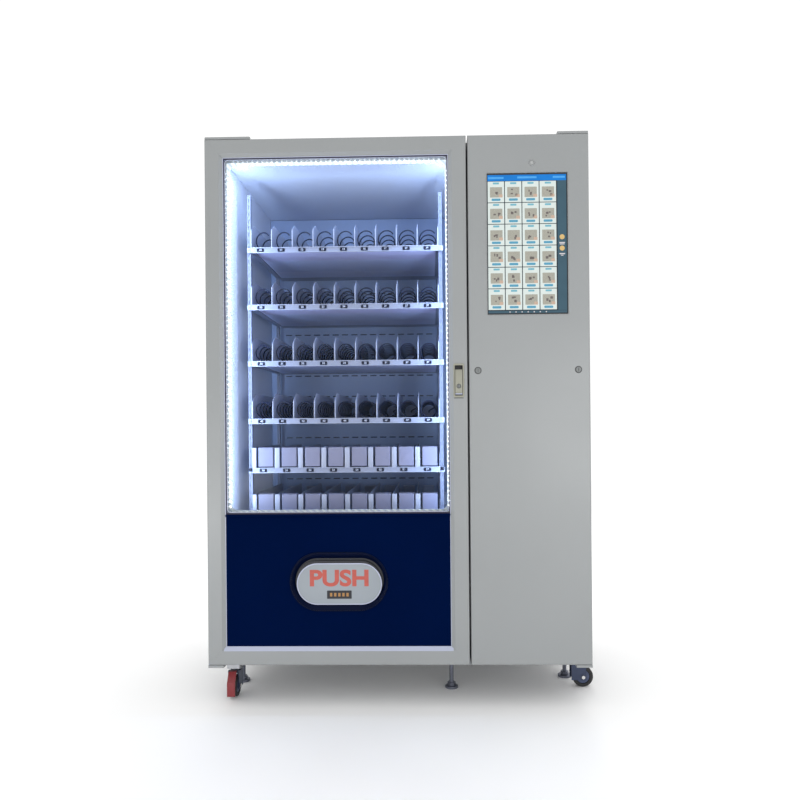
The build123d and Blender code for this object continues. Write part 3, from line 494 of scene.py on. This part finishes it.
def flap_details():
    """The flap's pale cover with its raised edge, its word, and the plain plate under the word."""
    low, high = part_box("delivery_flap")
    bezel_low, bezel_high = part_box("flap_bezel")
    pad_height, ring_height = 143 * MM, 200 * MM
    x, z = (low.x + high.x) / 2, low.z + pad_height / 2
    front = low.y
    cover = bmesh.new()
    add_plate(cover, x, z, 292 * MM, 142 * MM, 71 * MM, front - 1.6 * MM, 1.5 * MM, 0.7 * MM, 20)
    piece("flap_cover_edge", cover, pad_edge, "delivery_flap", True)
    face = bmesh.new()
    add_plate(face, x, z, 284 * MM, 134 * MM, 67 * MM, front - 2.2 * MM, 0.7 * MM, 0.3 * MM, 20)
    piece("flap_cover", face, pad_grey, "delivery_flap", True)
    lettering(
        "flap_word", "PUSH", x, z + 17.5 * MM, 57.7 * MM, front - 2.4 * MM, push_red,
        "delivery_flap", 2.8 * MM, 201 * MM,
    )
    plate = bmesh.new()
    add_plate(plate, x, z - 36 * MM, 84 * MM, 28 * MM, 1.5 * MM, front - 2.9 * MM, 0.7 * MM, 0.2 * MM, 4)
    piece("flap_plate", plate, black, "delivery_flap", True)
    bars = bmesh.new()
    for i in range(5):
        bar_x = x + (i - 2) * 14 * MM
        add_block(bars, (bar_x - 4 * MM, front - 3.3 * MM, z - 42 * MM),
                  (bar_x + 4 * MM, front - 2.9 * MM, z - 30 * MM), 0.15 * MM, 1)
    piece("flap_plate_marks", bars, mark_amber, "delivery_flap")
    ring = bmesh.new()
    add_frame_ring(
        ring, (bezel_low.x + bezel_high.x) / 2, bezel_low.z + ring_height / 2,
        bezel_high.x - bezel_low.x - 1 * MM, ring_height - 1 * MM,
        99.4 * MM, 3 * MM, bezel_low.y - 1.2 * MM, 1.1 * MM, 20,
    )
    piece("flap_ring", ring, navy_ring, "glass_door", True)


# ---------------------------------------------------------------- trays

COIL_LANES, PUSHER_LANES = 9, 8
LAST_COIL_TRAY = 4
COIL_TRAY_RISE, PUSHER_TRAY_RISE = 94 * MM, 75 * MM
END_BRACKETS = (14 * MM, 18 * MM)
TAG_PLACE = 0.47


def tray_details(number):
    """The rail's folded lips, numbered tags, divider edges, slots drawn as black patches of painted shade in
    their openings, underside skins coloured with painted light and shade, and end brackets.
    """
    node = f"tray_{number}"
    low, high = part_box(node)
    has_coils = number <= LAST_COIL_TRAY
    left, right = low.x + END_BRACKETS[0], high.x - END_BRACKETS[1]
    lanes = COIL_LANES if has_coils else PUSHER_LANES
    pitch = (right - left) / lanes
    rail_top = high.z - (COIL_TRAY_RISE if has_coils else PUSHER_TRAY_RISE)
    front = low.y

    lips = bmesh.new()
    for z in (rail_top - 0.8 * MM, rail_top - 18.6 * MM):
        add_block(lips, (left + 0.5 * MM, front - 2.2 * MM, z - 0.9 * MM),
                  (right - 0.5 * MM, front - 0.05 * MM, z + 0.9 * MM), 0.6 * MM)
    piece(f"{node}_rail_lips", lips, trim_white, node, True)

    tags = bmesh.new()
    tag_z = rail_top - 10 * MM
    for lane in range(lanes):
        x = left + (lane + TAG_PLACE) * pitch
        add_plate(tags, x, tag_z, 27 * MM, 13 * MM, 4 * MM, front - 1.5 * MM, 1.45 * MM, 0.5 * MM, 5)
    piece(f"{node}_tags", tags, tag_black, node, True)
    for lane in range(lanes):
        x = left + (lane + TAG_PLACE) * pitch
        lettering(
            f"{node}_number_{lane + 1}", str(10 * number + lane), x, tag_z, 7.5 * MM,
            front - 1.7 * MM, tag_white, node, 0.3 * MM,
        )

    edges = bmesh.new()
    if has_coils:
        for lane in range(lanes + 1):
            x = min(max(left + lane * pitch, left + MM), right - MM)
            add_block(edges, (x - 1.5 * MM, front + 1.2 * MM, rail_top - 1 * MM),
                      (x + 1.5 * MM, front + 3.1 * MM, rail_top + 65 * MM), 0.6 * MM)
    else:
        for lane in range(lanes):
            x = left + lane * pitch
            add_block(edges, (max(x - 4 * MM, left), front + 0.8 * MM, rail_top - 1 * MM),
                      (x + 14 * MM, front + 2.9 * MM, rail_top + 73 * MM), 0.7 * MM)
    piece(f"{node}_divider_edges", edges, trim_white, node, True)

    # the slots are black patches: painted shade in their openings
    under = bmesh.new()
    for lane in range(lanes * 2):
        x = left + (lane + 0.5) * pitch / 2
        add_block(under, (x - 7 * MM, front + 8 * MM, rail_top - 8.2 * MM),
                  (x + 7 * MM, front + 11 * MM, rail_top - 6.1 * MM), 0.4 * MM)
    piece(f"{node}_slots", under, tag_black, node)
    # three skins under the tray whose colours are painted light and shade: a lit band behind the rail, a
    # shaded middle and a lighter rear
    for name, material, near, far in (
        ("band", under_painted_lit_band, 4, 171), ("shade", under_shade, 172, 355), ("rear", under_rear_painted_lit, 356, 466),
    ):
        skin = bmesh.new()
        add_block(skin, (left + 2 * MM, front + near * MM, rail_top - 7 * MM),
                  (right - 2 * MM, front + far * MM, rail_top - 6.05 * MM), 0.3 * MM, 1)
        piece(f"{node}_under_{name}", skin, material, node)

    bracket = bmesh.new()
    for x0, x1 in ((low.x, left - 0.6 * MM), (right + 0.6 * MM, high.x)):
        add_block(bracket, (x0 + 0.4 * MM, front - 1.6 * MM, rail_top - 19.5 * MM),
                  (x1, front - 0.05 * MM, rail_top - 0.5 * MM), 0.7 * MM)
        add_screw(bracket, ((x0 + x1) / 2, front - 1.6 * MM, tag_z), (0, -1, 0), 3.2 * MM)
    piece(f"{node}_brackets", bracket, tray_white, node, True)

    if number == 5:
        caps = bmesh.new()
        for x in (left - 7 * MM, right + 9 * MM):
            add_block(caps, (x - 7 * MM, front - 4 * MM, rail_top - 14 * MM),
                      (x + 7 * MM, front - 1.7 * MM, rail_top - 1 * MM), 1 * MM)
        piece("tray_5_caps", caps, tag_black, node, True)


def pusher_details(number):
    """The dark joint round each pusher box and the raised face on its front."""
    low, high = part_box(f"tray_{number}_pushers")
    tray_low, tray_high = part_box(f"tray_{number}")
    left, right = tray_low.x + END_BRACKETS[0], tray_high.x - END_BRACKETS[1]
    pitch = (right - left) / PUSHER_LANES
    z, tall = (low.z + high.z) / 2, high.z - low.z
    faces = bmesh.new()
    joints = bmesh.new()
    for lane in range(PUSHER_LANES):
        x = left + (lane + 0.5) * pitch + 5.5 * MM
        add_plate(joints, x, z, 58 * MM, tall, 2 * MM, low.y - 0.5 * MM, 0.45 * MM, 0.1 * MM, 3)
        add_plate(faces, x + 0.6 * MM, z + 0.8 * MM, 55.5 * MM, tall - 4 * MM, 3 * MM,
                  low.y - 3.0 * MM, 2.4 * MM, 1.2 * MM, 4)
    piece(f"tray_{number}_pusher_joints", joints, tag_black, f"pushers_{number}")
    piece(f"tray_{number}_pusher_faces", faces, pusher, f"pushers_{number}", True)


# ---------------------------------------------------------------- cabinet inside


def inside_details():
    """The air duct on the back wall, coloured slate as painted shade for the cabinet's dark back, with its
    rows of slots as black patches of painted shade, the liner's bright edge and the partition's.
    """
    x0, x1 = liner_low.x + 47 * MM, liner_high.x - LINER_RIGHT_WALL
    duct_foot, first_slot, slot_pitch_x, slot_pitch_z = 0.66, 0.72, 42 * MM, 92 * MM
    duct = bmesh.new()
    add_block(duct, (x0 + 1 * MM, LINER_BACK - 14 * MM, duct_foot),
              (x1 - 1 * MM, LINER_BACK - 0.5 * MM, LINER_CEILING - 2 * MM), 1.5 * MM, 2)
    piece("air_duct", duct, duct_painted_shade, "cabinet", True)
    # the slots are black patches: painted shade in their openings
    slots = bmesh.new()
    for row in range(12):
        for column in range(16):
            x = x0 + 80 * MM + column * slot_pitch_x
            z = first_slot + row * slot_pitch_z
            add_block(slots, (x - 14 * MM, LINER_BACK - 14.6 * MM, z),
                      (x + 14 * MM, LINER_BACK - 13.9 * MM, z + 5 * MM), 0.2 * MM, 1)
    piece("air_duct_slots", slots, black, "cabinet")
    edge = bmesh.new()
    middle = (x0 + x1) / 2
    foot = side_low.z + MM
    add_frame_ring(
        edge, middle, (foot + LINER_CEILING) / 2, x1 - x0 + 8 * MM, LINER_CEILING - foot,
        22 * MM, 5 * MM, LINER_EDGE, 2 * MM,
    )
    piece("liner_edge", edge, trim_white, "cabinet", True)
    strip = bmesh.new()
    strip_front, strip_foot, strip_head = -0.3375, 0.20, 1.90
    add_block(strip, (x1 + 2 * MM, strip_front, strip_foot),
              (x1 + 38 * MM, strip_front + 2 * MM, strip_head), 0.4 * MM, 1)
    piece("partition_strip", strip, silver, "cabinet")


# ---------------------------------------------------------------- control door

TILE_COLUMNS, TILE_ROWS = 4, 6


def screen_picture():
    """The lit picture: a header, a grid of plain tiles with a pill under each, a side strip and a footer."""
    wide, tall = screen_high.x - screen_low.x, screen_high.z - screen_low.z
    front = screen_low.y

    def at(u, v):
        return screen_low.x + u * wide, screen_high.z - v * tall

    def panel(name, boxes, material, lift, radius=0.5 * MM):
        made = bmesh.new()
        for u0, v0, u1, v1 in boxes:
            x0, z1 = at(u0, v0)
            x1, z0 = at(u1, v1)
            limit = min(radius, (x1 - x0) / 2.01, (z1 - z0) / 2.01)
            add_plate(
                made, (x0 + x1) / 2, (z0 + z1) / 2, x1 - x0, z1 - z0, limit, front - lift, 0.12 * MM, 0, 5,
            )
        piece(name, made, material, "control_door")

    dim = {"base": (0.010, 0.011, 0.013), "specular": 0.08}
    back = glow("picture_back", (0.020, 0.032, 0.042), 1.0, 0.2, **dim)
    header = glow("picture_header", (0.002, 0.20, 0.66), 1.0, 0.25, 14, **dim)
    tile = glow("picture_tile", (0.74, 0.82, 0.79), 1.0, 0.08, 60, **dim)
    goods = glow("picture_goods", (0.42, 0.41, 0.35), 1.0, 0.45, 420, **dim)
    goods_dark = glow("picture_goods_dark", (0.17, 0.15, 0.14), 1.0, 0.5, 300, **dim)
    goods_warm = glow("picture_goods_warm", (0.60, 0.44, 0.34), 1.0, 0.3, 300, **dim)
    pill = glow("picture_pill", (0.11, 0.36, 0.52), 1.0, 0.3, 300, **dim)
    cap = glow("picture_cap", (0.20, 0.48, 0.58), 1.0, 0.3, 260, **dim)
    side = glow("picture_side", (0.050, 0.110, 0.150), 1.0, 0.15, 20, **dim)
    amber = glow("picture_amber", (0.72, 0.50, 0.20), 1.0, 0.3, 200, **dim)
    white = glow("picture_white", (0.72, 0.68, 0.70), 1.0, 0.05, **dim)
    sky = glow("picture_sky", (0.08, 0.40, 0.90), 1.0, 0.15, 90, **dim)

    panel("screen_picture", [(0.008, 0.010, 0.992, 0.992)], back, 0.15 * MM)
    panel("screen_header", [(0.010, 0.012, 0.985, 0.055)], header, 0.30 * MM)
    panel("screen_side", [(0.875, 0.055, 0.985, 0.972)], side, 0.30 * MM)
    panel("screen_footer", [(0.010, 0.974, 0.985, 0.990)], side, 0.30 * MM)
    cell_w, cell_h = 0.858 / TILE_COLUMNS, 0.914 / TILE_ROWS
    cells = [(0.012 + c * cell_w, 0.058 + r * cell_h) for r in range(TILE_ROWS) for c in range(TILE_COLUMNS)]

    def in_cells(u0, v0, u1, v1):
        return [(u + cell_w * u0, v + cell_h * v0, u + cell_w * u1, v + cell_h * v1) for u, v in cells]

    panel("screen_tiles", in_cells(0, 0, 0.95, 0.965), tile, 0.30 * MM)
    panel("screen_goods", in_cells(0.13, 0.26, 0.84, 0.74), goods, 0.45 * MM, 1.5 * MM)
    blobs = []
    for u, v in cells:
        for _ in range(3):
            bu = u + cell_w * random.uniform(0.30, 0.60)
            bv = v + cell_h * random.uniform(0.34, 0.58)
            far_u = bu + cell_w * random.uniform(0.07, 0.16)
            blobs.append((bu, bv, far_u, bv + cell_h * random.uniform(0.06, 0.13)))
    panel("screen_goods_dark", blobs, goods_dark, 0.60 * MM, 1.2 * MM)
    panel("screen_goods_warm", in_cells(0.64, 0.60, 0.86, 0.74), goods_warm, 0.60 * MM, 1.2 * MM)
    panel("screen_pills", in_cells(0.22, 0.79, 0.74, 0.90), pill, 0.45 * MM, 3 * MM)
    panel("screen_caps", in_cells(0.30, 0.04, 0.66, 0.13), cap, 0.45 * MM, 2 * MM)
    discs = bmesh.new()
    for v in (0.455, 0.535):
        x, z = at(0.93, v)
        add_disc(discs, (x, front - 0.45 * MM, z), (0, -1, 0), 8.5 * MM, 0.1 * MM, 0, 28)
    piece("screen_discs", discs, amber, "control_door")
    lines = [
        (0.895, 0.492, 0.965, 0.500), (0.90, 0.503, 0.96, 0.509),
        (0.895, 0.570, 0.965, 0.578), (0.915, 0.582, 0.945, 0.588),
    ]
    lines += [(0.27 + 0.075 * i, 0.979, 0.285 + 0.075 * i, 0.986) for i in range(7)]
    panel("screen_lines", lines, white, 0.45 * MM, 0.8 * MM)
    header_lines = [(0.02, 0.026, 0.21, 0.040), (0.38, 0.024, 0.62, 0.038), (0.82, 0.024, 0.97, 0.038)]
    panel("screen_header_lines", header_lines, sky, 0.45 * MM, 0.8 * MM)


def screen_surround():
    """The thin step round the screen's window, the lens ring and the locks' collars."""
    ring = bmesh.new()
    add_frame_ring(
        ring, (screen_low.x + screen_high.x) / 2, (screen_low.z + screen_high.z) / 2,
        screen_high.x - screen_low.x + 5 * MM, screen_high.z - screen_low.z + 5 * MM, 3 * MM, 2.4 * MM,
        FACE - 0.8 * MM, 0.75 * MM,
    )
    piece("screen_surround", ring, silver, "control_door")
    collars = bmesh.new()
    for node in ("lock_barrel_left", "lock_barrel_right"):
        low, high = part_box(node)
        x = (low.x + high.x) / 2
        z = low.z + (high.x - low.x) / 2
        collar_ring(collars, (x, FACE, z), 9.3 * MM, 12 * MM, 1.2 * MM)
    piece("lock_collars", collars, lock_ring, "control_door", True)
    rim = bmesh.new()
    low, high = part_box("camera_lens")
    collar_ring(rim, ((low.x + high.x) / 2, FACE, (low.z + high.z) / 2), 7.3 * MM, 11 * MM, 0.8 * MM)
    piece("lens_rim", rim, silver, "control_door", True)


def handle_details():
    """The finger notch's dark lining, the key's collar, the lever's lit edge as a painted highlight, and
    painted shadow lines under the lever and under the dish.
    """
    low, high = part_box("handle_lever")
    key_low, key_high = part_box("handle_key_barrel")
    x = (low.x + high.x) / 2
    lining = bmesh.new()
    dish_low, dish_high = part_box("handle_dish")
    add_plate(lining, x, dish_high.z - 14 * MM, 25 * MM, 15 * MM, 2 * MM, FACE + 14 * MM, 3 * MM, 0.5 * MM, 4)
    piece("handle_notch", lining, black, "glass_door")
    collar = bmesh.new()
    key_centre = ((key_low.x + key_high.x) / 2, low.y + 0.8 * MM, (key_low.z + key_high.z) / 2)
    collar_ring(collar, key_centre, 5.7 * MM, 8 * MM, 1.6 * MM)
    piece("handle_key_collar", collar, lock_ring, "handle_lever", True)
    # painted highlight: a pale strip where light falls on the lever's lower edge
    lit = bmesh.new()
    add_plate(lit, x, dish_low.z + 13 * MM, 24 * MM, 6 * MM, 1.5 * MM, FACE - 0.9 * MM, 0.8 * MM, 0.3 * MM, 4)
    piece("handle_lit_edge", lit, trim_white, "handle_lever", True)
    # painted shadows: a dark line under the lever and another under the dish
    marks = bmesh.new()
    add_plate(marks, x, dish_low.z + 8 * MM, 25 * MM, 2.4 * MM, 0.8 * MM, FACE - 0.7 * MM, 0.6 * MM, 0, 4)
    add_plate(marks, x, dish_low.z - 2 * MM, 32 * MM, 1.8 * MM, 0.6 * MM, FACE - 0.4 * MM, 0.3 * MM, 0, 4)
    piece("handle_painted_shadow_lines", marks, black, "glass_door")


# ---------------------------------------------------------------- undercarriage and outside


def wheel_details():
    """Hub discs on both sides of each wheel, and bright axle bolts on the front forks."""
    for node, axis in (
        ("wheel_front_left", (1, 0, 0)), ("wheel_front_right", (0, 1, 0)),
        ("wheel_rear_left", (1, 0, 0)), ("wheel_rear_right", (1, 0, 0)),
    ):
        low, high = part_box(node)
        centre = (low + high) / 2
        direction = Vector(axis)
        hubs = bmesh.new()
        for side in (-1, 1):
            outward = direction * side
            collar_disc(hubs, centre + outward * 12.6 * MM, outward, 11 * MM, 23.5 * MM, 1.6 * MM)
        piece(f"{node}_hub", hubs, hub_plastic, node, True)
    for node, body, axis in (
        ("caster_fork_front_left", "caster_left", (1, 0, 0)),
        ("caster_fork_front_right", "caster_right", (0, 1, 0)),
    ):
        wheel_low, wheel_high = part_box(node.replace("caster_fork", "wheel"))
        centre = (wheel_low + wheel_high) / 2
        bolts = bmesh.new()
        for side in (-1, 1):
            outward = Vector(axis) * side
            add_disc(bolts, centre + outward * 23.2 * MM, outward, 7 * MM, 3 * MM, 0.6 * MM, 6)
        piece(f"{node}_bolts", bolts, chrome, body)


def outside_details():
    """Screws on the hinges and the rear panel, the rear service cover, and the inlet's frame."""
    _, hinge_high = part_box("door_hinges")
    heads = bmesh.new()
    for x in (LEFT + 40 * MM, LEFT + 85 * MM, LEFT + 130 * MM, RIGHT - 35 * MM, RIGHT - 80 * MM):
        add_screw(heads, (x, FACE + 85 * MM, hinge_high.z - 2.4 * MM), (0, 0, 1), 5 * MM)
    piece("hinge_screws", heads, chrome, "cabinet", True)
    rear_low, rear_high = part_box("rear_panel")
    screws = bmesh.new()
    for i in range(9):
        z = rear_low.z + 30 * MM + i * (rear_high.z - rear_low.z - 60 * MM) / 8
        for x in (rear_low.x + 14 * MM, rear_high.x - 14 * MM):
            add_screw(screws, (x, rear_high.y, z), (0, 1, 0), 4.5 * MM)
    for i in range(1, 7):
        x = rear_low.x + 14 * MM + i * (rear_high.x - rear_low.x - 28 * MM) / 7
        for z in (rear_low.z + 30 * MM, rear_high.z - 30 * MM):
            add_screw(screws, (x, rear_high.y, z), (0, 1, 0), 4.5 * MM)
    piece("rear_screws", screws, steel, "cabinet", True)
    cover_foot, cover_head = 0.62, 1.80
    cover = bmesh.new()
    add_block(cover, (rear_low.x + 250 * MM, rear_high.y, cover_foot),
              (rear_low.x + 820 * MM, rear_high.y + 1.5 * MM, cover_head), 0.7 * MM)
    piece("rear_service_cover", cover, grey, "cabinet", True)
    inlet_low, inlet_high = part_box("mains_inlet")
    middle = (inlet_low + inlet_high) / 2
    ring = bmesh.new()
    for z0, z1 in ((middle.z + 12 * MM, middle.z + 20 * MM), (middle.z - 20 * MM, middle.z - 12 * MM)):
        add_block(ring, (middle.x - 36 * MM, rear_high.y, z0),
                  (middle.x + 36 * MM, rear_high.y + 1.4 * MM, z1), 0.5 * MM)
    for side in (-1, 1):
        add_screw(ring, (middle.x + side * 31 * MM, rear_high.y, middle.z), (0, 1, 0), 3 * MM)
    piece("inlet_flange", ring, black, "cabinet", True)


door_trim()
light_dots()
flap_details()
for tray_number in range(1, 7):
    tray_details(tray_number)
for tray_number in (5, 6):
    pusher_details(tray_number)
inside_details()
screen_picture()
screen_surround()
handle_details()
wheel_details()
outside_details()

# ---------------------------------------------------------------- floor, lights and camera

floor_mesh = bmesh.new()
bmesh.ops.create_grid(floor_mesh, x_segments=8, y_segments=8, size=9)
floor_data = bpy.data.meshes.new("studio_floor")
floor_mesh.to_mesh(floor_data)
floor_mesh.free()
floor = bpy.data.objects.new("studio_floor", floor_data)
scene.collection.objects.link(floor)
floor_data.materials.append(finish("studio_floor", (0.97, 0.97, 0.97), 0.7, 0.0, 0.01, 200, 0.02))

WORLD_STRENGTH = 1.08
world = bpy.data.worlds.new("studio")
scene.world = world
world.use_nodes = True
background = world.node_tree.nodes["Background"]
background.inputs["Color"].default_value = (1.0, 1.0, 1.0, 1)
background.inputs["Strength"].default_value = WORLD_STRENGTH
scene.view_settings.view_transform = "Standard"


def area_light(name, place, aim, size, power, color=(1, 1, 1)):
    """A rectangular lamp at a place, turned towards a point."""
    lamp = bpy.data.lights.new(name, "AREA")
    lamp.shape = "RECTANGLE"
    lamp.size, lamp.size_y = size
    lamp.energy = power
    lamp.color = color
    made = bpy.data.objects.new(name, lamp)
    scene.collection.objects.link(made)
    made.location = place
    made.rotation_euler = (Vector(aim) - Vector(place)).to_track_quat("-Z", "Y").to_euler()


area_light("key", (1.7, -3.6, 0.9), (0.5, -0.4, 0.6), (1.6, 1.2), 20)
area_light("fill", (-1.9, -3.2, 0.35), (-0.3, -0.4, 0.2), (1.6, 0.5), 14)
area_light("back", (0.5, 3.5, 3.0), (0, 0, 1.0), (2.5, 2.5), 40)
COOL, SIDE_POWER, TOP_POWER = (0.56, 0.73, 1.0), 3.9, 2.6
inner_left, inner_right = liner_low.x + LINER_LEFT_WALL, liner_high.x - LINER_RIGHT_WALL
middle_x = (inner_left + inner_right) / 2
for name, x in (("inside_left", inner_left + 12 * MM), ("inside_right", inner_right - 12 * MM)):
    area_light(name, (x, -0.30, 1.26), (middle_x, 0.05, 1.26), (0.03, 1.2), SIDE_POWER, COOL)
area_light("inside_top", (middle_x, -0.28, 1.865), (middle_x, -0.05, 1.2), (0.70, 0.03), TOP_POWER, COOL)

CAMERA_X, CAMERA_HEIGHT, CAMERA_DISTANCE = 0.087, 0.946, 2.25
PICTURE_WIDTH, FOCAL_PIXELS, SENSOR = 800, 667.0, 36
camera_data = bpy.data.cameras.new("camera")
camera = bpy.data.objects.new("camera", camera_data)
scene.collection.objects.link(camera)
camera_data.sensor_width = SENSOR
camera_data.lens = FOCAL_PIXELS / PICTURE_WIDTH * SENSOR
camera_data.shift_x = -0.02
camera_data.shift_y = 0.035
camera_data.clip_start = 0.05
YAW, ROLL = math.radians(1.2), math.radians(-0.47)
camera.matrix_world = (
    Matrix.Translation((CAMERA_X, FACE - CAMERA_DISTANCE, CAMERA_HEIGHT))
    @ Matrix.Rotation(YAW, 4, "Z") @ Matrix.Rotation(math.pi / 2, 4, "X") @ Matrix.Rotation(ROLL, 4, "Z")
)
scene.camera = camera

bpy.context.view_layer.update()
